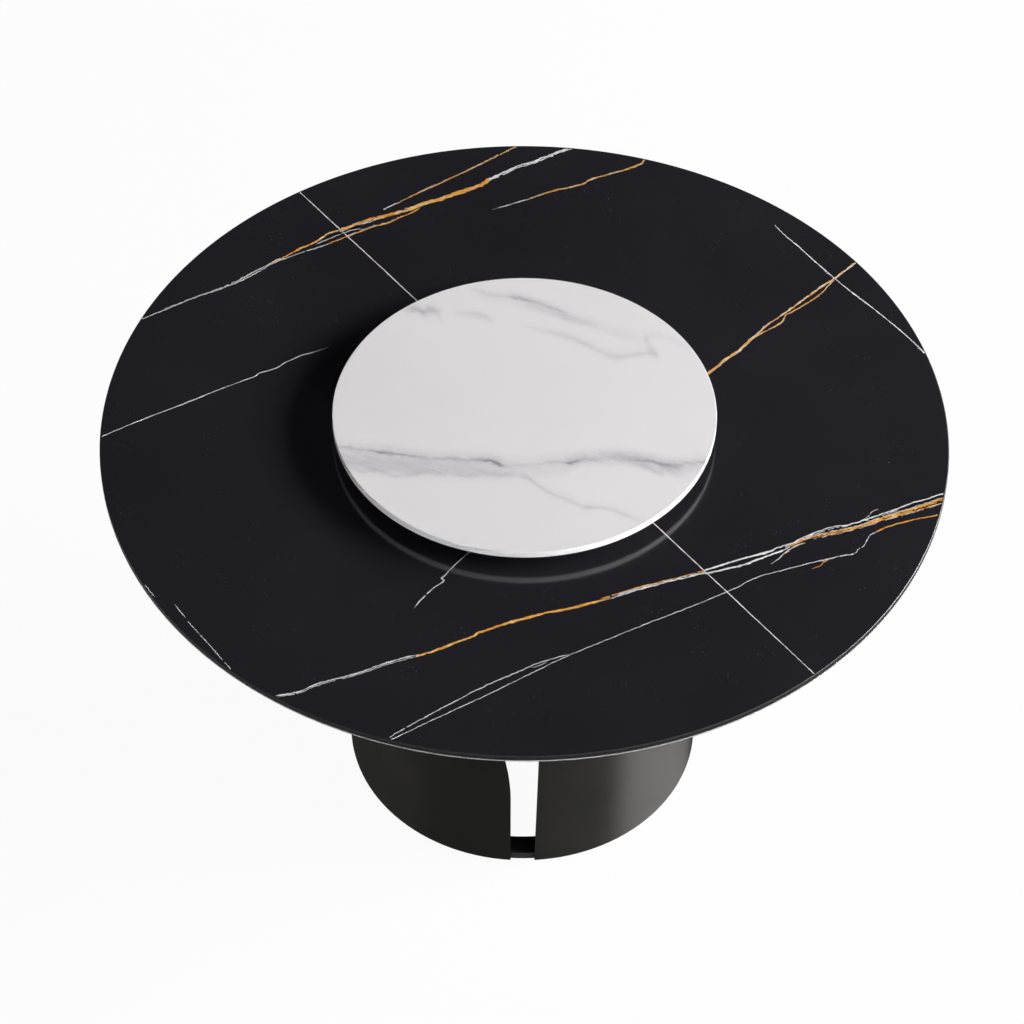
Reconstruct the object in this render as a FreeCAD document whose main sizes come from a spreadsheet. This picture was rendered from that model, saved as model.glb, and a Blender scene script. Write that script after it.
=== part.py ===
import FreeCAD
import Part
import Sketcher
import math
import os

# Round stone dining table on a drum base, with a white turntable on a ball bearing.
# Millimetres and degrees. The origin is on the floor under the table's centre, +Z is up,
# and the drum's front slot faces -Y.

DRIVING_SIZES = {
    # Table top
    "table_height": 750,
    "top_diameter": 1350,
    "stone_thickness": 9,
    "stone_edge_radius": 1.5,
    "backing_thickness": 3,
    "backing_setback": 0.5,
    "board_diameter": 860,
    "board_thickness": 15,
    "board_edge_bevel": 6,
    # Drum panels and the slots between them
    "base_diameter": 600,
    "panel_thickness": 4,
    "floor_clearance": 2,
    "slot_half_width": 20,
    "slot_bend_height": 158,
    "slot_bend_radius": 600,
    "slot_lean": 12,
    "slot_straight_lean": 1.2,
    # Rings inside the drum
    "ring_gap": 0.3,
    "base_ring_width": 35,
    "base_ring_height": 15,
    "top_ring_width": 70,
    "top_ring_thickness": 8,
    # Bolts from the top ring into the support board
    "mounting_bolt_diameter": 8,
    "mounting_bolt_flats": 13,
    "mounting_bolt_head": 5.3,
    "mounting_bolt_engagement": 10,
    "mounting_circle_inset": 25,
    "washer_diameter": 16,
    "washer_thickness": 1.6,
    "insert_diameter": 12,
    "insert_length": 12,
    # Cleats between the panels and the rings
    "cleat_leg": 28,
    "cleat_thickness": 3,
    "cleat_angle": 9,
    "cleat_bolt_diameter": 6,
    "cleat_bolt_flats": 10,
    "cleat_bolt_head": 4,
    "cleat_bolt_engagement": 7,
    "stud_tip": 2,
    "stud_nut_height": 5,
    # Screw feet
    "foot_pad_diameter": 24,
    "foot_pad_height": 5,
    "foot_sole_thickness": 2,
    "foot_socket_depth": 3.5,
    "foot_pocket_depth": 9,
    "foot_pocket_gap": 1.5,
    "stem_diameter": 8,
    "stem_tip": 2.5,
    "stem_slot_width": 1.4,
    "stem_slot_depth": 1.6,
    "lock_nut_flats": 13,
    "lock_nut_height": 6.5,
    # Turntable and its bearing
    "turntable_diameter": 610,
    "turntable_thickness": 12,
    "turntable_edge_chamfer": 1,
    "bearing_pitch_diameter": 300,
    "race_width": 23,
    "race_height": 16,
    "race_step": 3,
    "race_gap": 4,
    "ball_diameter": 8,
    "cage_height": 10,
    "cage_gap": 0.7,
    "bearing_pad_diameter": 16,
    "bearing_pad_thickness": 2,
    # Clearances
    "running_gap": 0.06,
    "ball_gap": 0.1,
    "bolt_hole_gap": 0.4,
    "seat_gap": 0.1,
    "hole_tip_gap": 1,
}

MOUNTING_BOLT_COUNT = 8
CLEAT_COUNT = 6
BALL_COUNT = 24
BEARING_PAD_COUNT = 8

MOUNTING_BOLT_START = 22.5
LOWER_CLEAT_START = 0
UPPER_CLEAT_START = -10

FOOT_ANGLES = {
    "front_right": -45,
    "rear_right": 45,
    "rear_left": 135,
    "front_left": 225,
}

# Heights above the floor, as expressions of the driving sizes
stone_bottom = "(sizes.table_height - sizes.stone_thickness)"
backing_bottom = f"({stone_bottom} - sizes.backing_thickness)"
board_bottom = f"({backing_bottom} - sizes.board_thickness)"
top_ring_bottom = f"({board_bottom} - sizes.top_ring_thickness)"
base_ring_top = "(sizes.floor_clearance + sizes.base_ring_height)"
panel_height = f"({board_bottom} - sizes.floor_clearance)"
foot_pad_top = "(sizes.foot_sole_thickness + sizes.foot_pad_height)"
foot_socket_floor = f"({foot_pad_top} - sizes.foot_socket_depth)"
stem_top = f"({base_ring_top} + sizes.lock_nut_height + sizes.stem_tip)"
race_floor = "(sizes.table_height + sizes.bearing_pad_thickness)"
outer_race_bottom = f"({race_floor} + sizes.race_step)"
outer_race_top = f"({outer_race_bottom} + sizes.race_height)"
ball_level = f"({race_floor} + (sizes.race_height + sizes.race_step) / 2)"
turntable_bottom = f"({outer_race_top} + sizes.bearing_pad_thickness)"

# Radii from the table's axis
panel_inner_radius = "(sizes.base_diameter / 2 - sizes.panel_thickness)"
ring_outer_radius = f"({panel_inner_radius} - sizes.ring_gap)"
base_ring_inner_radius = f"({ring_outer_radius} - sizes.base_ring_width)"
top_ring_inner_radius = f"({ring_outer_radius} - sizes.top_ring_width)"
mounting_circle_radius = f"({top_ring_inner_radius} + sizes.mounting_circle_inset)"
cleat_bolt_radius = f"({ring_outer_radius} - sizes.cleat_leg / 2)"
cleat_inner_radius = f"({ring_outer_radius} - sizes.cleat_thickness)"
foot_circle_radius = f"({ring_outer_radius} - sizes.base_ring_width / 2)"
pitch_radius = "(sizes.bearing_pitch_diameter / 2)"
inner_race_outer_radius = f"({pitch_radius} - sizes.race_gap / 2)"
inner_race_inner_radius = f"({inner_race_outer_radius} - sizes.race_width)"
outer_race_inner_radius = f"({pitch_radius} + sizes.race_gap / 2)"
outer_race_outer_radius = f"({outer_race_inner_radius} + sizes.race_width)"

# Round holes and what goes in them
mounting_bolt_radius = "(sizes.mounting_bolt_diameter / 2)"
mounting_thread_radius = f"({mounting_bolt_radius} + sizes.running_gap)"
mounting_hole_radius = f"({mounting_bolt_radius} + sizes.bolt_hole_gap)"
insert_hole_radius = "(sizes.insert_diameter / 2 + sizes.running_gap)"
cleat_bolt_shank_radius = "(sizes.cleat_bolt_diameter / 2)"
cleat_thread_radius = f"({cleat_bolt_shank_radius} + sizes.running_gap)"
cleat_hole_radius = f"({cleat_bolt_shank_radius} + sizes.bolt_hole_gap)"
foot_pocket_radius = "(sizes.foot_pad_diameter / 2 + sizes.foot_pocket_gap)"
stem_radius = "(sizes.stem_diameter / 2)"
stem_hole_radius = f"({stem_radius} + sizes.running_gap)"
groove_radius = "(sizes.ball_diameter / 2 + sizes.ball_gap)"

doc = FreeCAD.newDocument("dining_table")
sheet = doc.addObject("Spreadsheet::Sheet", "sizes")
for row, (alias, value) in enumerate(DRIVING_SIZES.items(), start=1):
    sheet.set(f"A{row}", alias)
    sheet.set(f"B{row}", str(value))
    sheet.setAlias(f"B{row}", alias)
doc.recompute()

nodes = []


def node(item, name):
    """Name a finished piece and list it for writing."""
    item.Label = name
    nodes.append(item)


def size(alias):
    """A driving size's present value."""
    return float(sheet.get(alias))


def spread(count, start):
    """Evenly spaced angles around the axis."""
    return [start + 360 * index / count for index in range(count)]


def bind(item, **expressions):
    for name, expression in expressions.items():
        item.setExpression(name, expression)
    return item


def place(item, x="0", y="0", z="0", turn="0", tilt="0"):
    """Tilt about +Y, turn about +Z, then move to (x, y, z)."""
    rotation = f"rotation(vector(0; 0; 1); {turn}) * rotation(vector(0; 1; 0); {tilt})"
    item.setExpression("Placement", f"placement(vector({x}; {y}; {z}); {rotation})")
    return item


def place_polar(item, radius, angle, z, tilt="0"):
    """Place on a circle about the table's axis, turned to face outwards."""
    return place(item, f"{radius} * cos({angle})", f"{radius} * sin({angle})", z, angle, tilt)


def cylinder(name, radius, height, sweep="360"):
    return bind(doc.addObject("Part::Cylinder", name), Radius=radius, Height=height, Angle=sweep)


def hex_prism(name, across_flats, height):
    item = doc.addObject("Part::Prism", name)
    item.Polygon = 6
    return bind(item, Circumradius=f"{across_flats} / sqrt(3)", Height=height)


def group(name, members):
    item = doc.addObject("Part::Compound", name)
    item.Links = members
    return item


def cut(name, base, tools):
    item = doc.addObject("Part::Cut", name)
    item.Base = base
    item.Tool = tools[0] if len(tools) == 1 else group(f"{name}_tools", tools)
    return item


def fuse(name, base, tool):
    item = doc.addObject("Part::Fuse", name)
    item.Base = base
    item.Tool = tool
    return item


def tube(name, outer_radius, inner_radius, height):
    outside = cylinder(f"{name}_outside", outer_radius, height)
    inside = cylinder(f"{name}_inside", inner_radius, height)
    return cut(name, outside, [inside])


def hex_nut(name, across_flats, height, hole_radius):
    blank = hex_prism(f"{name}_hex", across_flats, height)
    return cut(name, blank, [cylinder(f"{name}_hole", hole_radius, height)])


def hex_bolt(name, across_flats, head_height, shank_radius, shank_length):
    """A bolt whose head sits below z 0 and whose shank points up."""
    head = place(hex_prism(f"{name}_head", across_flats, head_height), z=f"-({head_height})")
    return fuse(name, head, cylinder(f"{name}_shank", shank_radius, shank_length))


def new_body(name):
    return doc.addObject("PartDesign::Body", f"{name}_body")


def new_sketch(body, role, name):
    sketch = body.newObject("Sketcher::SketchObject", name)
    plane = next(feature for feature in body.Origin.OriginFeatures if feature.Role == role)
    sketch.AttachmentSupport = (plane, [""])
    sketch.MapMode = "FlatFace"
    return sketch


def dimension(sketch, name, expression, kind, *references):
    """Add a dimension to a sketch and bind it to an expression."""
    sketch.addConstraint(Sketcher.Constraint(kind, *references))
    sketch.renameConstraint(sketch.ConstraintCount - 1, name)
    sketch.setExpression(f"Constraints.{name}", expression)


def draw_circle(sketch, name, diameter, first_guess):
    circle = Part.Circle(FreeCAD.Vector(), FreeCAD.Vector(0, 0, 1), first_guess / 2)
    index = sketch.addGeometry(circle, False)
    sketch.addConstraint(Sketcher.Constraint("Coincident", index, 3, -1, 1))
    dimension(sketch, name, diameter, "Diameter", index, first_guess)


def pad(body, sketch, name, length):
    feature = body.newObject("PartDesign::Pad", name)
    feature.Profile = sketch
    bind(feature, Length=length)
    doc.recompute()
    return feature


def rim_edges(feature, level):
    """Names of the full circles that lie at one height of a feature."""
    return [
        f"Edge{number}"
        for number, edge in enumerate(feature.Shape.Edges, start=1)
        if edge.Closed and math.isclose(edge.CenterOfMass.z, level, abs_tol=0.001)
    ]


def disc(name, diameter, first_guess, thickness, bottom):
    body = new_body(name)
    sketch = new_sketch(body, "XY_Plane", f"{name}_outline")
    draw_circle(sketch, "across", diameter, first_guess)
    place(body, z=bottom)
    return body, pad(body, sketch, f"{name}_pad", thickness)


def chamfer(body, base, name, edges, amount):
    feature = body.newObject("PartDesign::Chamfer", name)
    feature.Base = (base, edges)
    bind(feature, Size=amount)


# Table top

def make_tabletop_slab():
    body, blank = disc(
        "tabletop_slab", "sizes.top_diameter", size("top_diameter"), "sizes.stone_thickness", stone_bottom
    )
    ease = body.newObject("PartDesign::Fillet", "slab_upper_arris")
    ease.Base = (blank, rim_edges(blank, size("stone_thickness")))
    bind(ease, Radius="sizes.stone_edge_radius")
    node(body, "tabletop_slab")


def make_backing_sheet():
    diameter = "sizes.top_diameter - 2 * sizes.backing_setback"
    first_guess = size("top_diameter") - 2 * size("backing_setback")
    body, _ = disc("backing_sheet", diameter, first_guess, "sizes.backing_thickness", backing_bottom)
    node(body, "backing_sheet")


def make_support_board():
    diameter = "sizes.board_diameter"
    body, blank = disc(
        "support_board", diameter, size("board_diameter"), "sizes.board_thickness", board_bottom
    )
    chamfer(body, blank, "board_lower_bevel", rim_edges(blank, 0), "sizes.board_edge_bevel")
    depth = "(sizes.insert_length + sizes.hole_tip_gap)"
    holes = []
    for index, angle in enumerate(spread(MOUNTING_BOLT_COUNT, MOUNTING_BOLT_START)):
        hole = cylinder(f"insert_hole_{index}", insert_hole_radius, depth)
        holes.append(place_polar(hole, mounting_circle_radius, angle, board_bottom))
    node(cut("board_with_holes", body, holes), "support_board")


def make_threaded_inserts():
    inserts = []
    for index, angle in enumerate(spread(MOUNTING_BOLT_COUNT, MOUNTING_BOLT_START)):
        insert = tube(
            f"insert_{index}", "sizes.insert_diameter / 2", mounting_thread_radius, "sizes.insert_length"
        )
        inserts.append(place_polar(insert, mounting_circle_radius, angle, board_bottom))
    node(group("inserts", inserts), "threaded_inserts")


def make_mounting_bolts():
    washer_bottom = f"({top_ring_bottom} - sizes.washer_thickness)"
    shank = "(sizes.washer_thickness + sizes.top_ring_thickness + sizes.mounting_bolt_engagement)"
    bolts = []
    washers = []
    for index, angle in enumerate(spread(MOUNTING_BOLT_COUNT, MOUNTING_BOLT_START)):
        washer = tube(
            f"washer_{index}", "sizes.washer_diameter / 2", mounting_hole_radius, "sizes.washer_thickness"
        )
        washers.append(place_polar(washer, mounting_circle_radius, angle, washer_bottom))
        bolt = hex_bolt(
            f"mounting_bolt_{index}",
            "sizes.mounting_bolt_flats",
            "sizes.mounting_bolt_head",
            mounting_bolt_radius,
            shank,
        )
        bolts.append(place_polar(bolt, mounting_circle_radius, angle, washer_bottom))
    node(group("mounting_bolt_set", bolts), "mounting_bolts")
    node(group("washer_set", washers), "mounting_washers")


# Drum panels and rings

SLOT_CUT_MARGIN = 5


def chain_lines(sketch, points):
    """Lines through a list of points, joined end to start. Returns their indices."""
    indices = []
    for start, end in zip(points, points[1:]):
        line = Part.LineSegment(FreeCAD.Vector(*start, 0), FreeCAD.Vector(*end, 0))
        indices.append(sketch.addGeometry(line, False))
    for first, second in zip(indices, indices[1:]):
        sketch.addConstraint(Sketcher.Constraint("Coincident", first, 2, second, 1))
    return indices


def bound_slot_cut(sketch, upper, left, lower):
    """Dimensions that the straight and the bent slot cuts share."""
    sketch.addConstraint(Sketcher.Constraint("Horizontal", upper))
    sketch.addConstraint(Sketcher.Constraint("Vertical", left))
    sketch.addConstraint(Sketcher.Constraint("Horizontal", lower))
    reach = f"-(sizes.base_diameter / 2 + {SLOT_CUT_MARGIN})"
    first_reach = -size("base_diameter") / 2 - SLOT_CUT_MARGIN
    dimension(sketch, "left_bound", reach, "DistanceX", lower, 1, first_reach)
    dimension(sketch, "lower_bound", f"-{SLOT_CUT_MARGIN}", "DistanceY", lower, 1, -SLOT_CUT_MARGIN)
    dimension(sketch, "edge_start", "sizes.slot_half_width", "DistanceX", lower, 2, size("slot_half_width"))
    top = size("table_height")
    dimension(sketch, "upper_bound", f"{panel_height} + {SLOT_CUT_MARGIN}", "DistanceY", upper, 1, top)


def straight_slot_cut(body):
    """Everything left of an edge that leans slightly away from the slot."""
    sketch = new_sketch(body, "XZ_Plane", f"{body.Name}_straight_edge")
    half_width = size("slot_half_width")
    left = -size("base_diameter") / 2 - SLOT_CUT_MARGIN
    top = size("table_height")
    lean = math.radians(size("slot_straight_lean"))
    edge_top = half_width + (top + SLOT_CUT_MARGIN) * math.tan(lean)
    lower, edge, upper, side = chain_lines(
        sketch,
        [
            (left, -SLOT_CUT_MARGIN),
            (half_width, -SLOT_CUT_MARGIN),
            (edge_top, top),
            (left, top),
            (left, -SLOT_CUT_MARGIN),
        ],
    )
    sketch.addConstraint(Sketcher.Constraint("Coincident", side, 2, lower, 1))
    bound_slot_cut(sketch, upper, side, lower)
    dimension(sketch, "lean", "90 - sizes.slot_straight_lean", "Angle", edge, math.pi / 2 - lean)
    return sketch


def bent_slot_cut(body):
    """Everything left of an edge that rises straight, bends outwards and leans to the top."""
    sketch = new_sketch(body, "XZ_Plane", f"{body.Name}_bent_edge")
    half_width = size("slot_half_width")
    left = -size("base_diameter") / 2 - SLOT_CUT_MARGIN
    top = size("table_height")
    bend = size("slot_bend_height")
    radius = size("slot_bend_radius")
    lean = math.radians(size("slot_lean"))
    bend_end_x = half_width + radius * (1 - math.cos(lean))
    bend_end_z = bend + radius * math.sin(lean)
    edge_top = bend_end_x + (top - bend_end_z) * math.tan(lean)
    lower, rise = chain_lines(
        sketch, [(left, -SLOT_CUT_MARGIN), (half_width, -SLOT_CUT_MARGIN), (half_width, bend)]
    )
    leaning, upper, side = chain_lines(
        sketch, [(bend_end_x, bend_end_z), (edge_top, top), (left, top), (left, -SLOT_CUT_MARGIN)]
    )
    circle = Part.Circle(FreeCAD.Vector(half_width + radius, bend, 0), FreeCAD.Vector(0, 0, 1), radius)
    arc = sketch.addGeometry(Part.ArcOfCircle(circle, math.pi - lean, math.pi), False)
    sketch.addConstraint(Sketcher.Constraint("Coincident", side, 2, lower, 1))
    sketch.addConstraint(Sketcher.Constraint("Tangent", rise, 2, arc, 2))
    sketch.addConstraint(Sketcher.Constraint("Tangent", arc, 1, leaning, 1))
    sketch.addConstraint(Sketcher.Constraint("Vertical", rise))
    bound_slot_cut(sketch, upper, side, lower)
    dimension(sketch, "bend_start", "sizes.slot_bend_height", "DistanceY", rise, 2, bend)
    dimension(sketch, "bend_radius", "sizes.slot_bend_radius", "Radius", arc, radius)
    dimension(sketch, "lean", "90 - sizes.slot_lean", "Angle", leaning, math.pi / 2 - lean)
    return sketch


def pocket_through(body, sketch, name, towards_front):
    """Cut one half of the drum, in front of or behind the upright plane, through the sketch."""
    before = body.Shape.Volume
    feature = body.newObject("PartDesign::Pocket", name)
    feature.Profile = sketch
    feature.Type = "ThroughAll"
    feature.Reversed = towards_front
    doc.recompute()
    if not feature.Shape.Volume < before:
        raise RuntimeError(f"{name} removes nothing")


def make_panel(name, turn):
    """One wall of the drum, with a straight front edge and a bent rear edge. Its twin is half turned."""
    body = new_body(name)
    outline = new_sketch(body, "XY_Plane", f"{name}_outline")
    outer = size("base_diameter")
    draw_circle(outline, "outside", "sizes.base_diameter", outer)
    draw_circle(outline, "inside", f"2 * {panel_inner_radius}", outer - 2 * size("panel_thickness"))
    pad(body, outline, f"{name}_drum", panel_height)
    pocket_through(body, straight_slot_cut(body), f"{name}_front_cut", True)
    pocket_through(body, bent_slot_cut(body), f"{name}_rear_cut", False)
    place(body, z="sizes.floor_clearance", turn=turn)
    node(body, name)


def cleat_bolt_angle(angle):
    return f"({angle} - sizes.cleat_angle / 4)"


def stud_angle(angle):
    return f"({angle} + sizes.cleat_angle / 4)"


def make_base_ring():
    blank = tube("base_ring_blank", ring_outer_radius, base_ring_inner_radius, "sizes.base_ring_height")
    place(blank, z="sizes.floor_clearance")
    tools = []
    for name, angle in FOOT_ANGLES.items():
        pocket = cylinder(f"foot_pocket_{name}", foot_pocket_radius, "sizes.foot_pocket_depth")
        tools.append(place_polar(pocket, foot_circle_radius, angle, "sizes.floor_clearance"))
        hole = cylinder(f"stem_hole_{name}", stem_hole_radius, "sizes.base_ring_height")
        tools.append(place_polar(hole, foot_circle_radius, angle, "sizes.floor_clearance"))
    depth = "(sizes.cleat_bolt_engagement + sizes.hole_tip_gap)"
    for index, angle in enumerate(spread(CLEAT_COUNT, LOWER_CLEAT_START)):
        hole = cylinder(f"base_ring_thread_{index}", cleat_thread_radius, depth)
        tools.append(
            place_polar(hole, cleat_bolt_radius, cleat_bolt_angle(angle), f"{base_ring_top} - {depth}")
        )
    node(cut("base_ring_drilled", blank, tools), "base_ring")


def make_top_ring():
    blank = tube("top_ring_blank", ring_outer_radius, top_ring_inner_radius, "sizes.top_ring_thickness")
    place(blank, z=top_ring_bottom)
    tools = []
    for index, angle in enumerate(spread(MOUNTING_BOLT_COUNT, MOUNTING_BOLT_START)):
        hole = cylinder(f"top_ring_hole_{index}", mounting_hole_radius, "sizes.top_ring_thickness")
        tools.append(place_polar(hole, mounting_circle_radius, angle, top_ring_bottom))
    for index, angle in enumerate(spread(CLEAT_COUNT, UPPER_CLEAT_START)):
        hole = cylinder(f"top_ring_thread_{index}", cleat_thread_radius, "sizes.top_ring_thickness")
        tools.append(place_polar(hole, cleat_bolt_radius, cleat_bolt_angle(angle), top_ring_bottom))
    node(cut("top_ring_drilled", blank, tools), "top_ring")


# Cleats, studs and their fasteners

def make_cleat(name, angle, level, stud_level, points_up):
    """A curved angle: one leg lies on a ring at the given level, the other follows the panel."""
    bottom = level if points_up else f"({level} - sizes.cleat_leg)"
    notch_bottom = f"({level} + sizes.cleat_thickness)" if points_up else bottom
    blank = cylinder(f"{name}_blank", ring_outer_radius, "sizes.cleat_leg", "sizes.cleat_angle")
    place(blank, z=bottom, turn=f"({angle} - sizes.cleat_angle / 2)")
    core = cylinder(f"{name}_core", f"({ring_outer_radius} - sizes.cleat_leg)", "sizes.cleat_leg")
    place(core, z=bottom)
    notch = cylinder(f"{name}_notch", cleat_inner_radius, "(sizes.cleat_leg - sizes.cleat_thickness)")
    place(notch, z=notch_bottom)
    bolt_hole = cylinder(f"{name}_bolt_hole", cleat_hole_radius, "sizes.cleat_leg")
    place_polar(bolt_hole, cleat_bolt_radius, cleat_bolt_angle(angle), bottom)
    stud_hole = cylinder(f"{name}_stud_hole", cleat_hole_radius, "sizes.cleat_leg")
    place_polar(stud_hole, cleat_bolt_radius, stud_angle(angle), stud_level, "90")
    return cut(name, blank, [core, notch, bolt_hole, stud_hole])


def make_cleat_bolt(name, angle, level, points_down):
    length = "(sizes.cleat_thickness + sizes.cleat_bolt_engagement)"
    bolt = hex_bolt(
        name, "sizes.cleat_bolt_flats", "sizes.cleat_bolt_head", cleat_bolt_shank_radius, length
    )
    tilt = "180" if points_down else "0"
    return place_polar(bolt, cleat_bolt_radius, cleat_bolt_angle(angle), level, tilt)


def make_stud(name, angle, level):
    """A weld stud that stands on the panel's inner face and points at the axis."""
    length = "(sizes.ring_gap + sizes.cleat_thickness + sizes.stud_nut_height + sizes.stud_tip)"
    stud = cylinder(name, cleat_bolt_shank_radius, length)
    start = f"({panel_inner_radius} - sizes.seat_gap - {length})"
    return place_polar(stud, start, stud_angle(angle), level, "90")


def make_stud_nut(name, angle, level):
    nut = hex_nut(name, "sizes.cleat_bolt_flats", "sizes.stud_nut_height", cleat_thread_radius)
    start = f"({cleat_inner_radius} - sizes.seat_gap - sizes.stud_nut_height)"
    return place_polar(nut, start, stud_angle(angle), level, "90")


def make_cleats():
    rise = "(sizes.cleat_leg + sizes.cleat_thickness) / 2"
    lower_face = f"({base_ring_top} + sizes.cleat_thickness)"
    upper_face = f"({top_ring_bottom} - sizes.cleat_thickness)"
    lower_stud = f"({base_ring_top} + {rise})"
    upper_stud = f"({top_ring_bottom} - {rise})"
    rows = {
        "lower": (LOWER_CLEAT_START, base_ring_top, lower_face, lower_stud, True),
        "upper": (UPPER_CLEAT_START, top_ring_bottom, upper_face, upper_stud, False),
    }
    studs = []
    nuts = []
    for row_name, (start, ring_face, bolt_face, stud_level, points_up) in rows.items():
        cleats = []
        bolts = []
        for index, angle in enumerate(spread(CLEAT_COUNT, start)):
            name = f"{row_name}_cleat_{index}"
            cleats.append(make_cleat(name, angle, ring_face, stud_level, points_up))
            bolts.append(make_cleat_bolt(f"{name}_bolt", angle, bolt_face, points_up))
            studs.append(make_stud(f"{name}_stud", angle, stud_level))
            nuts.append(make_stud_nut(f"{name}_nut", angle, stud_level))
        node(group(f"{row_name}_cleat_set", cleats), f"{row_name}_cleats")
        node(group(f"{row_name}_bolt_set", bolts), f"{row_name}_cleat_bolts")
    node(group("stud_set", studs), "panel_studs")
    node(group("stud_nut_set", nuts), "stud_nuts")


# Screw feet

def make_foot(name, angle):
    sole = cylinder(f"sole_{name}", "sizes.foot_pad_diameter / 2", "sizes.foot_sole_thickness")
    node(place_polar(sole, foot_circle_radius, angle, "0"), f"foot_sole_{name}")

    blank = cylinder(f"pad_blank_{name}", "sizes.foot_pad_diameter / 2", "sizes.foot_pad_height")
    socket = cylinder(f"pad_socket_{name}", stem_hole_radius, "sizes.foot_socket_depth")
    place(socket, z="sizes.foot_pad_height - sizes.foot_socket_depth")
    pad_with_socket = cut(f"pad_{name}", blank, [socket])
    place_polar(pad_with_socket, foot_circle_radius, angle, "sizes.foot_sole_thickness")
    node(pad_with_socket, f"foot_pad_{name}")

    length = f"({stem_top} - {foot_socket_floor})"
    rod = cylinder(f"stem_rod_{name}", stem_radius, length)
    slot = bind(
        doc.addObject("Part::Box", f"stem_slot_{name}"),
        Length="2 * sizes.stem_diameter",
        Width="sizes.stem_slot_width",
        Height="sizes.stem_slot_depth",
    )
    place(slot, "-sizes.stem_diameter", "-sizes.stem_slot_width / 2", f"{length} - sizes.stem_slot_depth")
    stem = cut(f"stem_{name}", rod, [slot])
    node(place_polar(stem, foot_circle_radius, angle, foot_socket_floor), f"foot_stem_{name}")


def make_foot_lock_nuts():
    nuts = []
    for name, angle in FOOT_ANGLES.items():
        nut = hex_nut(f"lock_nut_{name}", "sizes.lock_nut_flats", "sizes.lock_nut_height", stem_hole_radius)
        nuts.append(place_polar(nut, foot_circle_radius, angle, base_ring_top))
    node(group("lock_nut_set", nuts), "foot_lock_nuts")


# Turntable and its bearing

def make_groove(name):
    groove = bind(doc.addObject("Part::Torus", name), Radius1=pitch_radius, Radius2=groove_radius)
    return place(groove, z=ball_level)


def make_race(name, outer_radius, inner_radius, bottom):
    blank = place(tube(f"{name}_blank", outer_radius, inner_radius, "sizes.race_height"), z=bottom)
    node(cut(f"{name}_grooved", blank, [make_groove(f"{name}_groove")]), name)


def make_balls_and_cage():
    half_wall = "(sizes.race_gap / 2 - sizes.cage_gap)"
    outside = f"({pitch_radius} + {half_wall})"
    inside = f"({pitch_radius} - {half_wall})"
    blank = tube("cage_blank", outside, inside, "sizes.cage_height")
    place(blank, z=f"{ball_level} - sizes.cage_height / 2")
    balls = []
    pockets = []
    for index, angle in enumerate(spread(BALL_COUNT, 0)):
        ball = bind(doc.addObject("Part::Sphere", f"ball_{index}"), Radius="sizes.ball_diameter / 2")
        balls.append(place_polar(ball, pitch_radius, angle, ball_level))
        pocket = cylinder(f"cage_pocket_{index}", groove_radius, "sizes.race_gap")
        pockets.append(place_polar(pocket, inner_race_outer_radius, angle, ball_level, "90"))
    node(group("ball_set", balls), "bearing_balls")
    node(cut("cage_with_pockets", blank, pockets), "bearing_cage")


def make_bearing_pads(name, radius, bottom):
    pads = []
    for index, angle in enumerate(spread(BEARING_PAD_COUNT, 0)):
        item = cylinder(f"{name}_{index}", "sizes.bearing_pad_diameter / 2", "sizes.bearing_pad_thickness")
        pads.append(place_polar(item, radius, angle, bottom))
    node(group(f"{name}_set", pads), name)


def make_turntable_plate():
    body, blank = disc(
        "turntable_plate",
        "sizes.turntable_diameter",
        size("turntable_diameter"),
        "sizes.turntable_thickness",
        turntable_bottom,
    )
    rims = rim_edges(blank, 0) + rim_edges(blank, size("turntable_thickness"))
    chamfer(body, blank, "turntable_edge", rims, "sizes.turntable_edge_chamfer")
    node(body, "turntable_plate")


def write_parts():
    doc.recompute()
    failed = [item.Label for item in doc.Objects if {"Invalid", "Error"} & set(item.State)]
    failed += [item.Label for item in nodes if item.Shape.isNull() or not item.Shape.isValid()]
    if failed:
        raise RuntimeError(f"not built: {failed}")
    os.makedirs("parts", exist_ok=True)
    for item in nodes:
        item.Shape.exportStep(f"parts/{item.Label}.step")


make_tabletop_slab()
make_backing_sheet()
make_support_board()
make_threaded_inserts()
make_mounting_bolts()
make_panel("right_panel", "0")
make_panel("left_panel", "180")
make_base_ring()
make_top_ring()
make_cleats()
for foot_name, foot_angle in FOOT_ANGLES.items():
    make_foot(foot_name, foot_angle)
make_foot_lock_nuts()
make_bearing_pads("lower_pads", f"({inner_race_inner_radius} + sizes.race_width / 2)", "sizes.table_height")
make_race("bearing_inner_race", inner_race_outer_radius, inner_race_inner_radius, race_floor)
make_race("bearing_outer_race", outer_race_outer_radius, outer_race_inner_radius, outer_race_bottom)
make_balls_and_cage()
make_bearing_pads("upper_pads", f"({outer_race_inner_radius} + sizes.race_width / 2)", outer_race_top)
make_turntable_plate()
write_parts()
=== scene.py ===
import math

import bmesh
import bpy
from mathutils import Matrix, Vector, noise


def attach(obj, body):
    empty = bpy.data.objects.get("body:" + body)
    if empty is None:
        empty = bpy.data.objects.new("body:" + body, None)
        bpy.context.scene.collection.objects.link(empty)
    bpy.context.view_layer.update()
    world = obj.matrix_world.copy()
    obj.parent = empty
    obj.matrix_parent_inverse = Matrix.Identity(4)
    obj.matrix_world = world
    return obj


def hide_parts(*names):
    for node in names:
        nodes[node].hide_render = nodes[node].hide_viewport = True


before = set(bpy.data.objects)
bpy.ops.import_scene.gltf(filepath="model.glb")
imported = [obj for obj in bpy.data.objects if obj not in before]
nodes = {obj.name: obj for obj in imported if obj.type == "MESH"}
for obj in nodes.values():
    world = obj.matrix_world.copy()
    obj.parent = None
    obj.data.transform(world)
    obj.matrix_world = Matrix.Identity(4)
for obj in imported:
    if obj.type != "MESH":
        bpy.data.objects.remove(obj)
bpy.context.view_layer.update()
scene = bpy.context.scene
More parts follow.
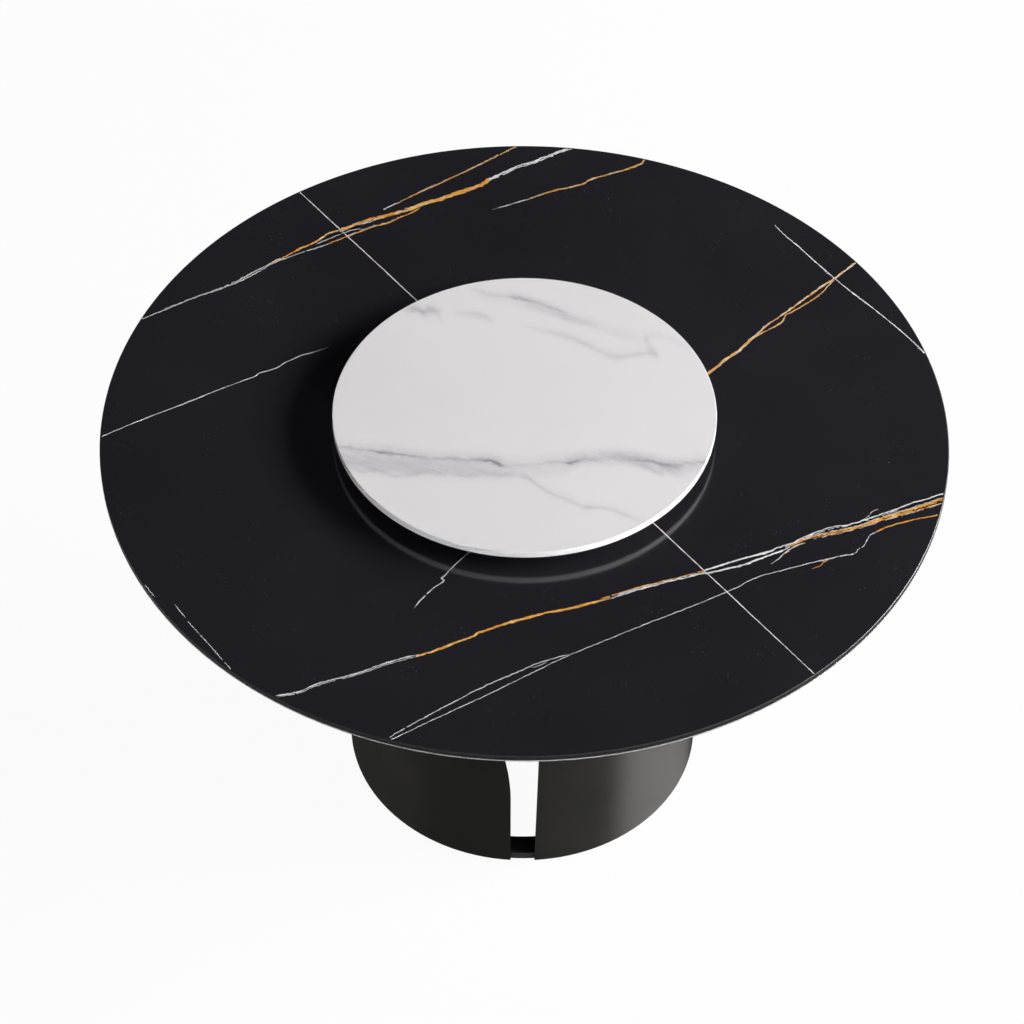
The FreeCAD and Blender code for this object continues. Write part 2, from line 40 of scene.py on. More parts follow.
scene.view_settings.view_transform = "Standard"

MM = 0.001

# Stone sizes, in millimetres; the slab stays a hair inside its CAD solid's facets
SLAB_RADIUS = 674.8
SLAB_BOTTOM = 741.0
SLAB_TOP = 750.0
SLAB_ARRIS = 1.5
SLAB_LOWER_ARRIS = 0.3
PLATE_RADIUS = 305.0
PLATE_BOTTOM = 773.0
PLATE_TOP = 785.0
PLATE_ARRIS = 1.0

# Fineness of the stone meshes: steps round a disc and on its small rounds, rings across its faces as shares of its
# radius, the angle in degrees above which an edge is sharp, and how level a face of the slab is that is polished
DISC_STEPS = 512
ROUND_STEPS = 5
RIM_STEPS = 9
SLAB_RINGS = (0.25, 0.6, 0.9)
PLATE_RINGS = (0.3, 0.7, 0.95, 0.994)
SHARP_ANGLE = 30.0
LEVEL_FACE = 0.995

# Vein strips, in millimetres: the step along a strand, how deep it is sunk, the step in height from strand to strand
# and the margin left inside the slab's eased rim
VEIN_STEP = 1.3
VEIN_DEPTH = 0.3
STRAND_RISE = 0.012
RIM_MARGIN = 0.1
# After how many strands the heights start again, the fewest steps that make a strip, and the parts into which the
# curve between two points of a route is cut
STRAND_LEVELS = 11
SHORTEST_STRIP = 3
ROUTE_PARTS = 40

# The floor's radius in metres, how much of it is plain white to the eye, and the world's light on surfaces
FLOOR_RADIUS = 60.0
FLOOR_GLOW = 0.95
AMBIENT = 0.010

# Veins of the black top: routes in millimetres on its upper face, seen from above
STRAIGHT_LINE = [(-382, 553), (-180, 290), (201, -212), (433, -517)]
BACK_WHITE = [(-630, 239), (-602, 257), (-575, 274), (-549, 290), (-525, 303), (-493, 320)]
BACK_GRAIN = [(-496, 318), (-475, 332), (-456, 347), (-436, 363), (-417, 379), (-406, 387)]
BACK_GOLD = [(-425, 374), (-405, 388), (-378, 410), (-350, 429), (-338, 441), (-329, 450), (-307, 460), (-282, 473),
             (-258, 485), (-234, 493), (-210, 504), (-185, 516), (-165, 528), (-143, 536), (-115, 552), (-87, 565),
             (-70, 576), (-59, 588)]
BACK_LOWER_WHITE = [(-411, 381), (-373, 402), (-346, 415), (-328, 424)]
BACK_LOWER_GOLD = [(-334, 421), (-302, 440), (-274, 456), (-250, 469), (-233, 475), (-205, 493), (-189, 503),
                   (-176, 515)]
BACK_INNER = [(-352, 422), (-330, 435), (-306, 450), (-290, 458), (-272, 462)]
BACK_KNOT = [(-310, 454), (-294, 467), (-276, 474), (-254, 482), (-226, 496)]
BACK_WHITE_END = [(-65, 583), (-31, 606), (-8, 621), (21, 634), (44, 649), (61, 659), (83, 671)]
BACK_THIN_WHITE = [(-238, 510), (-216, 526)]
BACK_THIN = [(-217, 525), (-186, 548), (-144, 577), (-110, 601), (-71, 629), (-42, 651), (-10, 674)]
BACK_RIGHT_WHITE = [(-56, 510), (-25, 523), (8, 537)]
BACK_RIGHT_GOLD = [(2, 534), (32, 550), (54, 560), (77, 567), (100, 576), (107, 582), (118, 590), (140, 599),
                   (174, 613), (199, 627), (205, 635), (210, 642)]
LEFT_WHITE = [(-674, -29), (-611, 10), (-546, 46), (-492, 78), (-450, 101), (-435, 109), (-429, 116), (-412, 123),
              (-399, 130), (-389, 140), (-378, 147), (-363, 157), (-343, 165), (-318, 177)]
RIGHT_LINE = [(423, 473), (439, 448), (462, 418), (485, 385), (516, 343), (541, 311), (567, 281), (592, 250),
              (622, 211), (654, 163)]
RIGHT_LINE_TWIG = [(500, 362), (507, 353), (514, 346)]
RIGHT_LINE_END = [(639, 180), (645, 175), (651, 164)]
RIGHT_GOLD_STEM = [(554, 382), (531, 359), (513, 340)]
RIGHT_GOLD_UPPER = [(516, 343), (487, 317), (464, 294), (435, 265), (409, 241), (397, 230), (383, 212), (370, 198)]
RIGHT_GOLD_LOWER = [(513, 340), (501, 321), (490, 305), (471, 287), (448, 268), (431, 255), (425, 241), (418, 233),
                    (400, 220), (383, 208), (369, 196)]
RIGHT_GOLD_END = [(373, 201), (363, 189), (349, 171), (337, 160), (323, 147), (315, 137), (294, 115)]
FRONT_WHITE = [(-369, -563), (-356, -559), (-333, -553), (-311, -540), (-280, -528), (-248, -517), (-216, -502),
               (-187, -490), (-162, -482)]
FRONT_GOLD = [(-163, -483), (-146, -477), (-122, -466), (-95, -452), (-76, -443), (-70, -437), (-47, -427),
              (-25, -417), (7, -405), (34, -396), (67, -388), (99, -377), (135, -365)]
FRONT_MIXED = [(116, -371), (143, -360), (176, -346), (198, -339), (220, -331), (248, -322), (278, -312)]
FRONT_PAIR_UPPER = [(274, -310), (303, -298), (337, -284), (359, -277), (384, -267)]
FRONT_PAIR_LOWER = [(276, -316), (303, -308), (333, -299), (359, -286), (378, -277), (398, -268)]
FRONT_END_WHITE = [(379, -268), (398, -258), (412, -253), (432, -240), (455, -228), (478, -218), (503, -213),
                   (529, -203), (558, -189), (580, -180), (598, -170), (627, -159), (661, -144)]
FRONT_END_GOLD = [(403, -263), (426, -248), (455, -236), (483, -227), (517, -217), (545, -203), (568, -194),
                  (591, -185), (614, -175), (637, -165), (661, -152)]
FRONT_END_LOWER = [(443, -243), (488, -229), (528, -215), (562, -201), (591, -190), (619, -180), (660, -163)]
FRONT_TWIG = [(374, -299), (389, -286), (400, -273), (418, -258), (435, -250)]
FRONT_TWIG_UPPER = [(522, -207), (535, -194), (542, -185), (552, -180)]
LONG_WHITE = [(-196, -644), (-130, -603), (-62, -562), (2, -521), (66, -481), (125, -449), (185, -417), (245, -387),
              (306, -354), (326, -343), (340, -332), (362, -320), (375, -315), (412, -303), (440, -293), (473, -283)]
LONG_WHITE_RISE = [(458, -289), (485, -279), (507, -274), (515, -264), (525, -254), (535, -235), (551, -225)]
LONG_GOLD_END = [(545, -227), (561, -218), (584, -209), (612, -200), (650, -191)]
LONG_TWIG = [(439, -306), (454, -299), (460, -291), (472, -283)]
PALE_BRANCH = [(-198, -639), (-151, -604), (-104, -571), (-62, -543), (-30, -524), (-4, -510), (12, -500),
               (28, -493), (50, -485), (67, -478)]
PALE_BRANCH_TWIG = [(9, -505), (20, -502), (35, -493)]
SHORT_WHITE = [(-84, -272), (-108, -301), (-122, -321), (-127, -327), (-123, -332), (-137, -345), (-148, -358),
               (-158, -371), (-168, -389)]
LOWER_LEFT_A = [(-532, -380), (-522, -395), (-512, -409)]
LOWER_LEFT_B = [(-510, -414), (-487, -444), (-474, -461), (-451, -493)]
LOWER_LEFT_C = [(-450, -494), (-434, -516)]
LOWER_LEFT_SMALL = [(-580, -340), (-570, -355), (-561, -367)]

# The strands of each vein set: route, width in millimetres and how it runs, as Veins.add says. A strand's place in its
# set is its seed, so a new one goes at the end
WHITE_STRANDS = [
    (STRAIGHT_LINE, 1.7, dict(wander=0.25, jag=0.2)),
    (RIGHT_LINE, 2.0, dict(wander=0.3, jag=0.3)),
    (RIGHT_LINE_TWIG, 1.0, dict(wander=0.2, fade=(4, 4), strong=0.75)),
    (RIGHT_LINE_END, 1.0, dict(wander=0.2, fade=(4, 4), strong=0.75)),
    (BACK_WHITE, 2.7, dict(wander=0.6, kept=0.97, strong=0.66)),
    (BACK_WHITE, 1.0, dict(wander=0.8, kept=0.45, offset=1.6, sway=1.0, strong=0.5)),
    (BACK_GRAIN, 1.9, dict(wander=0.9, kept=0.85, offset=1.6, sway=1.2, strong=0.8, jag=1.3)),
    (BACK_GRAIN, 1.9, dict(wander=0.9, kept=0.85, offset=-1.6, sway=1.2, strong=0.75, jag=1.3)),
    (BACK_LOWER_WHITE, 2.2, dict(wander=0.5, strong=0.62)),
    (BACK_LOWER_GOLD[1:6], 1.3, dict(wander=0.8, kept=0.55, offset=1.4, sway=1.0, strong=0.75, jag=1.2)),
    (BACK_INNER, 1.9, dict(wander=0.5, kept=0.95, fade=(12, 8), strong=0.75)),
    (BACK_KNOT, 2.0, dict(wander=1.0, kept=0.8, sway=1.0, strong=0.85, jag=1.5)),
    (BACK_GOLD[6:], 1.3, dict(wander=0.9, kept=0.5, offset=2.8, sway=1.2, strong=0.8, jag=1.4)),
    (BACK_GOLD[8:], 1.2, dict(wander=0.9, kept=0.42, offset=-2.6, sway=1.2, strong=0.7, jag=1.4)),
    (BACK_WHITE_END, 3.3, dict(wander=0.8, kept=0.88, offset=1.4, sway=1.2, strong=0.95, jag=1.4)),
    (BACK_WHITE_END, 2.7, dict(wander=0.8, kept=0.8, offset=-1.8, sway=1.2, strong=0.85, jag=1.4)),
    (BACK_THIN_WHITE, 2.6, dict(wander=0.3, strong=0.75)),
    (BACK_RIGHT_WHITE, 2.0, dict(wander=0.5, fade=(20, 0), strong=0.75)),
    (LEFT_WHITE, 1.5, dict(wander=0.3, kept=0.98, fade=(0, 25), strong=0.95, jag=0.35)),
    (RIGHT_GOLD_STEM, 1.6, dict(wander=0.4, kept=0.85, offset=1.0, strong=0.85)),
    (RIGHT_GOLD_UPPER, 1.3, dict(wander=0.5, kept=0.6, offset=-0.9, sway=0.8, strong=0.8, jag=1.2)),
    (RIGHT_GOLD_LOWER, 1.2, dict(wander=0.5, kept=0.5, offset=0.8, sway=0.8, strong=0.75, jag=1.2)),
    (BACK_THIN[1:], 1.3, dict(wander=0.4, kept=0.6, offset=1.2, sway=0.5, strong=0.7)),
    (BACK_RIGHT_GOLD, 1.2, dict(wander=0.4, kept=0.5, offset=1.2, sway=0.5, strong=0.7)),
    (RIGHT_GOLD_END, 1.3, dict(wander=0.6, kept=0.7, offset=1.9, sway=0.6, fade=(20, 0), strong=0.7)),
    (FRONT_WHITE, 2.3, dict(wander=0.6, kept=0.98, offset=1.0, sway=0.6, fade=(5, 8), strong=0.95, jag=0.9)),
    (FRONT_WHITE, 1.6, dict(wander=0.7, kept=0.85, offset=-1.6, sway=0.8, fade=(15, 8), strong=0.65, jag=0.9)),
    (FRONT_MIXED, 2.3, dict(wander=0.6, kept=0.98, offset=-1.2, sway=0.6, fade=(30, 0), jag=0.9)),
    (FRONT_MIXED[1:], 1.6, dict(wander=0.6, kept=0.75, offset=1.2, sway=0.6, strong=0.85, jag=0.9)),
    (FRONT_PAIR_UPPER, 3.7, dict(wander=0.5)),
    (FRONT_PAIR_LOWER, 3.2, dict(wander=0.5)),
    (FRONT_END_WHITE, 2.2, dict(wander=0.6, kept=0.97, strong=0.95, jag=1.1)),
    (FRONT_END_WHITE[:10], 1.4, dict(wander=0.8, kept=0.65, offset=-2.6, sway=1.2, strong=0.85, jag=1.2)),
    (FRONT_END_GOLD, 1.2, dict(wander=0.6, kept=0.8, offset=1.9, sway=1.2, strong=0.85, jag=1.2)),
    (FRONT_END_LOWER, 1.1, dict(wander=0.6, kept=0.6, offset=-1.6, sway=1.0, strong=0.75, jag=1.2)),
    (FRONT_TWIG, 1.4, dict(wander=0.5, kept=0.8, fade=(12, 8), strong=0.8)),
    (FRONT_TWIG_UPPER, 1.4, dict(wander=0.4, kept=0.9, fade=(6, 6), strong=0.8)),
    (LONG_WHITE, 1.2, dict(wander=0.4, kept=0.97, strong=0.95)),
    (LONG_WHITE_RISE, 1.5, dict(wander=0.5, kept=0.66, strong=0.9, jag=1.4)),
    (PALE_BRANCH, 1.6, dict(wander=0.5, fade=(0, 10), strong=0.8, jag=0.9)),
    (PALE_BRANCH_TWIG, 1.1, dict(wander=0.3, fade=(5, 5), strong=0.7)),
    (SHORT_WHITE, 1.7, dict(wander=0.3, fade=(0, 12), strong=0.95)),
    (LOWER_LEFT_A, 1.25, dict(wander=0.3, kept=0.95, fade=(10, 4), strong=0.75, jag=0.4)),
    (LOWER_LEFT_B, 1.15, dict(wander=0.3, kept=0.98, fade=(4, 4), strong=0.85, jag=0.4)),
    (LOWER_LEFT_C, 1.2, dict(wander=0.3, fade=(5, 0), strong=0.75, jag=0.4)),
    (LOWER_LEFT_SMALL, 1.3, dict(wander=0.3, kept=0.8, fade=(6, 6), strong=0.7)),
    ([*FRONT_PAIR_LOWER[-3:], *FRONT_END_GOLD[1:4]], 1.7, dict(wander=0.6, kept=0.9, fade=(6, 20), jag=1.1)),
    ([*LONG_WHITE[-2:], *LONG_WHITE_RISE[1:4]], 1.1, dict(wander=0.4, kept=0.75, strong=0.85, jag=1.2)),
    (LEFT_WHITE[5:13], 1.4, dict(wander=0.3, kept=0.98, fade=(20, 25), strong=0.9, jag=0.35)),
    (BACK_GOLD[3:12], 2.0, dict(wander=1.0, kept=0.55, sway=2.4, strong=0.9, jag=1.5)),
    (BACK_GOLD[10:17], 1.7, dict(wander=1.0, kept=0.45, offset=0.6, sway=3.0, strong=0.85, jag=1.5)),
]
GOLD_STRANDS = [
    (BACK_GRAIN[1:], 1.4, dict(wander=0.8, kept=0.6, sway=1.5, fade=(30, 0), strong=0.85, jag=1.3)),
    (BACK_GOLD[:8], 3.7, dict(wander=0.5, kept=0.97, fade=(15, 0), strong=0.95)),
    (BACK_GOLD[6:], 6.0, dict(wander=0.7, kept=0.97, sway=0.6, jag=1.1)),
    (BACK_GOLD[7:], 3.6, dict(wander=0.8, kept=0.8, offset=2.0, sway=1.0, fade=(20, 0), jag=1.3)),
    (BACK_GOLD[9:], 3.6, dict(wander=0.8, kept=0.75, offset=-2.0, sway=1.0, fade=(20, 0), strong=0.95, jag=1.3)),
    (BACK_LOWER_GOLD, 2.7, dict(wander=0.6, kept=0.95, fade=(12, 8), strong=0.9)),
    (FRONT_GOLD[:7], 3.6, dict(wander=0.5, jag=0.8)),
    (FRONT_GOLD[6:], 4.4, dict(wander=0.5, fade=(0, 25), jag=0.8)),
    (FRONT_MIXED, 2.0, dict(wander=0.6, kept=0.85, offset=2.6, sway=0.8, fade=(5, 5), strong=0.9)),
    (FRONT_END_GOLD, 2.5, dict(wander=0.6, kept=0.97, sway=0.6, fade=(20, 0), jag=1.1)),
    (FRONT_END_LOWER, 1.9, dict(wander=0.6, kept=0.92, fade=(25, 0), jag=1.1)),
    (FRONT_END_GOLD[2:], 1.6, dict(wander=0.7, kept=0.75, offset=-2.4, sway=0.8, fade=(15, 0), strong=0.95, jag=1.2)),
    (FRONT_TWIG[2:], 1.3, dict(wander=0.4, kept=0.7, offset=-1.2, strong=0.85)),
    (FRONT_TWIG_UPPER[2:], 1.2, dict(wander=0.3, strong=0.8)),
    (LONG_GOLD_END, 2.4, dict(wander=0.5, kept=0.9, strong=0.85)),
    (LONG_GOLD_END[:2], 1.8, dict(wander=0.5, kept=0.9, offset=-1.6, fade=(0, 8), strong=0.8)),
    (LONG_TWIG, 1.3, dict(wander=0.4, kept=0.85, fade=(6, 6), strong=0.85)),
]
PALE_GOLD_STRANDS = [
    (BACK_THIN, 2.6, dict(wander=0.5, kept=0.97, strong=0.85)),
    (BACK_RIGHT_GOLD, 3.5, dict(wander=0.4, kept=0.97, fade=(12, 0), strong=0.8)),
    (RIGHT_GOLD_STEM, 3.8, dict(wander=0.5, strong=0.95)),
    (RIGHT_GOLD_UPPER, 2.9, dict(wander=0.5, kept=0.98, strong=0.95)),
    (RIGHT_GOLD_LOWER, 2.6, dict(wander=0.5, kept=0.97, strong=0.9)),
    (RIGHT_GOLD_END, 4.6, dict(wander=0.5)),
    (FRONT_GOLD[9:], 1.6, dict(wander=0.5, kept=0.8, offset=1.2, fade=(20, 10), strong=0.9)),
]

# Each vein set: its name, how far it lies over the slab's face in millimetres, its strands and its colours
VEIN_SETS = [
    ("white", 0.020, WHITE_STRANDS,
     [(0.36, (0.46, 0.46, 0.47)), (0.50, (0.85, 0.84, 0.85)), (0.64, (0.95, 0.94, 0.93))]),
    ("gold", 0.024, GOLD_STRANDS,
     [(0.37, (0.62, 0.20, 0.03)), (0.46, (0.80, 0.32, 0.055)),
      (0.55, (0.85, 0.46, 0.10)), (0.63, (0.93, 0.76, 0.46))]),
    ("pale_gold", 0.028, PALE_GOLD_STRANDS,
     [(0.37, (0.58, 0.22, 0.055)), (0.46, (0.74, 0.35, 0.095)),
      (0.55, (0.82, 0.51, 0.21)), (0.63, (0.90, 0.75, 0.52))]),
]

# Soft grey lines of the white plate: millimetres on its upper face, and how dark each point is
PLATE_UPPER = [(-99, 284, 0), (-74, 273, 0.35), (-58, 265, 0.5), (-33, 261, 0.5), (-9, 257, 1), (16, 248, 0.8),
               (36, 238, 0.75), (56, 227, 0.8), (72, 218, 0.6), (92, 208, 0.45), (113, 199, 0.25), (125, 192, 0)]
PLATE_UPPER_SHADE = [(-1, 241, 0), (20, 232, 0.8), (44, 222, 0.7), (68, 209, 0.9), (96, 199, 0.6), (120, 190, 0)]
PLATE_VEIL = [(90, 208, 0), (120, 193, 0.7), (148, 176, 0.9), (175, 166, 0.7), (204, 150, 0)]
PLATE_SMUDGE = [(-204, 228, 0), (-187, 230, 0.6), (-175, 231, 0.9), (-165, 224, 0.9), (-155, 227, 0.8),
                (-143, 227, 0.4), (-131, 224, 0)]
PLATE_SMUDGE_FALL = [(-161, 237, 0), (-149, 230, 0.6), (-140, 217, 0.6), (-131, 197, 0)]
PLATE_SECOND = [(-120, 226, 0), (-102, 222, 0.4), (-86, 220, 0.6), (-70, 216, 0.8), (-57, 209, 0.5), (-46, 204, 0)]
PLATE_THIRD = [(-17, 197, 0), (19, 183, 0.3), (44, 176, 0.5), (58, 171, 0.6), (92, 154, 0.7), (112, 140, 0.6),
               (128, 129, 0.7), (147, 120, 0.8), (168, 123, 0.6), (188, 127, 0.6), (204, 131, 0.7), (212, 125, 0.4),
               (220, 122, 0)]
PLATE_HOOK = [(192, 161, 0), (201, 166, 0.6), (213, 171, 0.5), (229, 165, 0.45), (243, 158, 0.5), (264, 142, 0.3),
              (275, 135, 0)]
PLATE_HOOK_FALL = [(192, 171, 0), (196, 159, 0.6), (202, 143, 0.7), (209, 132, 0.7), (216, 122, 0)]
PLATE_MAIN = [(-300, -82, 0.2), (-282, -84, 0.35), (-254, -88, 0.4), (-235, -92, 0.65), (-215, -95, 0.75),
              (-192, -99, 0.6), (-168, -103, 0.45), (-141, -107, 0.3), (-118, -106, 0.4), (-90, -111, 0.45),
              (-67, -112, 0.6), (-53, -113, 0.9), (-46, -117, 1), (-36, -122, 0.6), (-24, -123, 0.25),
              (-1, -121, 0.25), (26, -118, 0.3), (50, -114, 0.35), (63, -115, 0.5), (73, -117, 1), (81, -113, 0.9),
              (89, -110, 0.45), (108, -109, 0.22), (131, -106, 0.2), (155, -108, 0.25), (178, -111, 0.28),
              (197, -112, 0.35), (213, -118, 0.38), (232, -121, 0.38), (252, -117, 0.3), (271, -114, 0.45),
              (284, -113, 0.45)]
PLATE_BROAD = [(57, -115, 0), (85, -109, 0.5), (108, -106, 0.8), (132, -103, 0.9), (155, -104, 1), (178, -108, 1),
               (201, -115, 1), (224, -122, 0.9), (252, -123, 0.6), (284, -118, 0.4)]
PLATE_STREAK = [(159, -111, 0), (174, -117, 0.6), (186, -123, 0.8), (197, -129, 0.9), (208, -137, 0.8),
                (219, -141, 0)]
PLATE_STREAK_END = [(209, -124, 0), (224, -131, 0.8), (239, -138, 0.5), (259, -142, 0)]
PLATE_BAND = [(-271, -130, 0), (-253, -136, 0.6), (-234, -133, 0.7), (-218, -136, 0.6), (-202, -146, 0.7),
              (-175, -144, 0.7), (-148, -136, 0.5), (-121, -140, 0.5), (-86, -144, 0.7), (-63, -141, 0.5),
              (-40, -144, 0.9), (-16, -142, 0.7), (3, -149, 0.5), (13, -156, 0)]
PLATE_FALL = [(-7, -145, 0), (7, -151, 0.7), (18, -162, 0.8), (34, -176, 0.8), (49, -186, 0.7), (64, -194, 0.7),
              (80, -202, 0.7), (95, -211, 0.8), (110, -211, 0.7), (126, -212, 0.6), (145, -220, 0.6),
              (164, -230, 0.5), (183, -239, 0.35), (199, -247, 0)]
PLATE_HAZE = [(-300, -114, 0.8), (-265, -115, 1), (-226, -119, 1), (-187, -122, 1), (-148, -124, 0.95),
              (-110, -127, 0.9), (-71, -129, 0.8), (-32, -132, 0.55), (7, -132, 0.4), (46, -128, 0.4), (77, -123, 0)]

# How those lines are laid: course, spread above and below it in millimetres, and weight
PLATE_LINES = [
    (PLATE_UPPER, 4.5, 4.5, 0.26), (PLATE_UPPER, 12.0, 16.0, 0.19), (PLATE_UPPER_SHADE, 8.0, 8.0, 0.14),
    (PLATE_SMUDGE, 8.0, 8.0, 0.30), (PLATE_SMUDGE, 16.0, 14.0, 0.10), (PLATE_SMUDGE_FALL, 9.0, 9.0, 0.18),
    (PLATE_SECOND, 6.0, 9.0, 0.26), (PLATE_THIRD, 5.5, 5.5, 0.20), (PLATE_THIRD, 18.0, 10.0, 0.09),
    (PLATE_HOOK, 8.0, 8.0, 0.18), (PLATE_HOOK_FALL, 13.0, 13.0, 0.17),
    (PLATE_MAIN, 3.4, 3.2, 0.52), (PLATE_MAIN, 15.0, 9.0, 0.22), (PLATE_BROAD, 15.0, 14.0, 0.32),
    (PLATE_STREAK, 6.0, 5.0, 0.26), (PLATE_STREAK_END, 11.0, 10.0, 0.20),
    (PLATE_BAND, 7.0, 4.0, 0.24), (PLATE_FALL, 3.5, 3.5, 0.22), (PLATE_FALL, 11.0, 9.0, 0.10),
    (PLATE_HAZE, 24.0, 19.0, 0.29), (PLATE_VEIL, 17.0, 15.0, 0.10),
]


# Material helpers

class Nodes:
    """Short ways to add and join nodes in one tree."""

    def __init__(self, tree):
        self.tree = tree

    def new(self, kind, inputs=(), **settings):
        node = self.tree.nodes.new("ShaderNode" + kind)
        for key, value in settings.items():
            setattr(node, key, value)
        for place, value in enumerate(inputs):
            self.put(node.inputs[place], value)
        return node

    def put(self, target, value):
        if isinstance(value, bpy.types.NodeSocket):
            self.tree.links.new(value, target)
        elif value is not None:
            target.default_value = value

    def math(self, operation, *values):
        return self.new("Math", values, operation=operation).outputs[0]

    def glow(self, strength):
        kind = "Background" if self.tree.nodes.get("World Output") else "Emission"
        return self.new(kind, ((1.0, 1.0, 1.0, 1.0), strength)).outputs[0]


class Surface(Nodes):
    """A node material on the object's own coordinates, in metres."""

    def __init__(self, name):
        self.material = bpy.data.materials.new(name)
        self.material.use_nodes = True
        super().__init__(self.material.node_tree)
        self.shader = self.tree.nodes["Principled BSDF"]
        self.where = self.tree.nodes.new("ShaderNodeTexCoord").outputs["Object"]

    def set(self, **values):
        for key, value in values.items():
            self.shader.inputs[key.replace("_", " ")].default_value = value

    def feed(self, key, socket):
        self.tree.links.new(socket, self.shader.inputs[key])

    def scaled(self, x, y, z):
        node = self.new("VectorMath", (self.where,), operation="MULTIPLY")
        node.inputs[1].default_value = (x, y, z)
        return node.outputs[0]

    def noise(self, scale, detail=4.0, rough=0.5, where=None):
        node = self.new("TexNoise")
        self.put(node.inputs["Vector"], where or self.where)
        node.inputs["Scale"].default_value = scale
        node.inputs["Detail"].default_value = detail
        node.inputs["Roughness"].default_value = rough
        return node.outputs["Fac"]

    def cells(self, scale):
        node = self.new("TexVoronoi")
        self.put(node.inputs["Vector"], self.where)
        node.inputs["Scale"].default_value = scale
        return node.outputs["Distance"]

    def curve(self, factor, points):
        """A smooth curve through points of (place, value), all from 0 to 1."""
        node = self.new("FloatCurve")
        curve = node.mapping.curves[0]
        for point, location in zip(curve.points, (points[0], points[-1])):
            point.location = location
        for location in points[1:-1]:
            curve.points.new(*location)
        for point in curve.points:
            point.handle_type = "AUTO_CLAMPED"
        node.mapping.update()
        self.put(node.inputs["Value"], factor)
        return node.outputs[0]

    def ramp(self, factor, stops):
        node = self.new("ValToRGB", (factor,))
        points = node.color_ramp.elements
        while len(points) < len(stops):
            points.new(0.5)
        for point, (place, colour) in zip(points, stops):
            point.position = place
            point.color = (*colour, 1.0)
        return node.outputs["Color"]

    def tones(self, factor, low, high, start=0.3, end=0.7):
        """A colour that drifts from low to high."""
        return self.ramp(factor, [(start, low), (end, high)])

    def between(self, factor, low, high):
        return self.new("MapRange", (factor, 0.0, 1.0, low, high)).outputs[0]

    def step(self, factor, low, high):
        return self.new("MapRange", (factor, low, high, 0.0, 1.0)).outputs[0]

    def mix(self, factor, first, second):
        # The colour sockets of this node are inputs 6 and 7 and output 2
        node = self.new("Mix", data_type="RGBA")
        self.put(node.inputs[0], factor)
        self.put(node.inputs[6], first)
        self.put(node.inputs[7], second)
        return node.outputs[2]

    def bump(self, height, strength, distance):
        node = self.new("Bump")
        node.inputs["Strength"].default_value = strength
        node.inputs["Distance"].default_value = distance
        self.put(node.inputs["Height"], height)
        self.feed("Normal", node.outputs["Normal"])

    def coat(self, grain, share, tone, fleck, rough):
        """Colour and roughness that follow one grain, which mixes up to a share of the fleck's colour into the tone."""
        self.feed("Base Color", self.mix(self.between(grain, 0.0, share), tone, (*fleck, 1.0)))
        self.feed("Roughness", self.between(grain, *rough))

    def radius(self):
        return self.new("VectorMath", (self.scaled(1.0, 1.0, 0.0),), operation="LENGTH").outputs["Value"]


def speckle(surface, scale, size):
    """Tiny pale dots, scattered and of uneven brightness."""
    dots = surface.math("LESS_THAN", surface.cells(scale), size)
    chance = surface.step(surface.noise(scale * 0.13, 3.0), 0.55, 0.72)
    return surface.math("MULTIPLY", dots, chance)


def black_stone():
    """Polished black stone: faint clouds, a fine grain and a few pale specks."""
    s = Surface("black_stone")
    cloud = s.noise(5.0, 5.0, 0.55)
    grain = s.noise(900.0, 3.0, 0.6)
    body = s.tones(cloud, (0.0126, 0.0120, 0.0155), (0.0176, 0.0168, 0.0213), 0.25, 0.75)
    fine = s.mix(s.between(grain, 0.0, 0.35), body, (0.0244, 0.0233, 0.0295, 1.0))
    dots = s.math("MULTIPLY", speckle(s, 150.0, 0.11), 0.35)
    s.feed("Base Color", s.mix(dots, fine, (0.32, 0.31, 0.32, 1.0)))
    s.feed("Roughness", s.between(s.noise(14.0, 6.0, 0.6), 0.10, 0.18))
    s.set(IOR=1.7)
    s.bump(s.noise(60.0, 3.0), 0.03, 0.0004)
    return s.material


def honed_edge_painted_shade():
    """The slab's side: the same stone, honed and not polished, in a darker colour than the top's: painted shade."""
    s = Surface("honed_edge_painted_shade")
    grain = s.noise(800.0, 4.0, 0.6)
    # Painted shade: these colours are darker than the top's, so that the side looks shaded all round
    tone = s.tones(s.noise(24.0, 5.0, 0.55), (0.008, 0.008, 0.009), (0.013, 0.013, 0.014), 0.25, 0.75)
    s.coat(grain, 0.35, tone, (0.024, 0.024, 0.026), (0.44, 0.60))
    s.set(Specular_IOR_Level=0.04)
    s.bump(grain, 0.08, 0.0002)
    return s.material


def eased_edge():
    """The rounded rim between the polished face and the honed side, rubbed to a satin."""
    s = Surface("eased_edge")
    grain = s.noise(600.0, 4.0, 0.6)
    tone = s.tones(s.noise(24.0, 5.0, 0.55), (0.014, 0.014, 0.016), (0.020, 0.020, 0.022), 0.25, 0.75)
    s.coat(grain, 0.3, tone, (0.034, 0.034, 0.037), (0.31, 0.37))
    s.set(Specular_IOR_Level=0.4)
    return s.material


def vein_colour(name, stops):
    """Inlaid vein: uneven colour along its run, fading into the black stone where its strength is low."""
    s = Surface(name)
    broad = s.noise(70.0, 4.0, 0.6)
    fine = s.noise(380.0, 4.0, 0.65)
    blend = s.math("ADD", s.math("MULTIPLY", broad, 0.5), s.math("MULTIPLY", fine, 0.5))
    colour = s.ramp(blend, stops)
    strength = s.new("Attribute", attribute_name="strength").outputs["Fac"]
    broken = s.math("MULTIPLY", strength, s.between(s.noise(260.0, 3.0, 0.7), 0.65, 1.35))
    shown = s.math("MINIMUM", broken, 1.0)
    s.feed("Base Color", s.mix(shown, (0.014, 0.014, 0.017, 1.0), colour))
    s.feed("Roughness", s.between(fine, 0.12, 0.26))
    s.set(IOR=1.5)
    return s.material


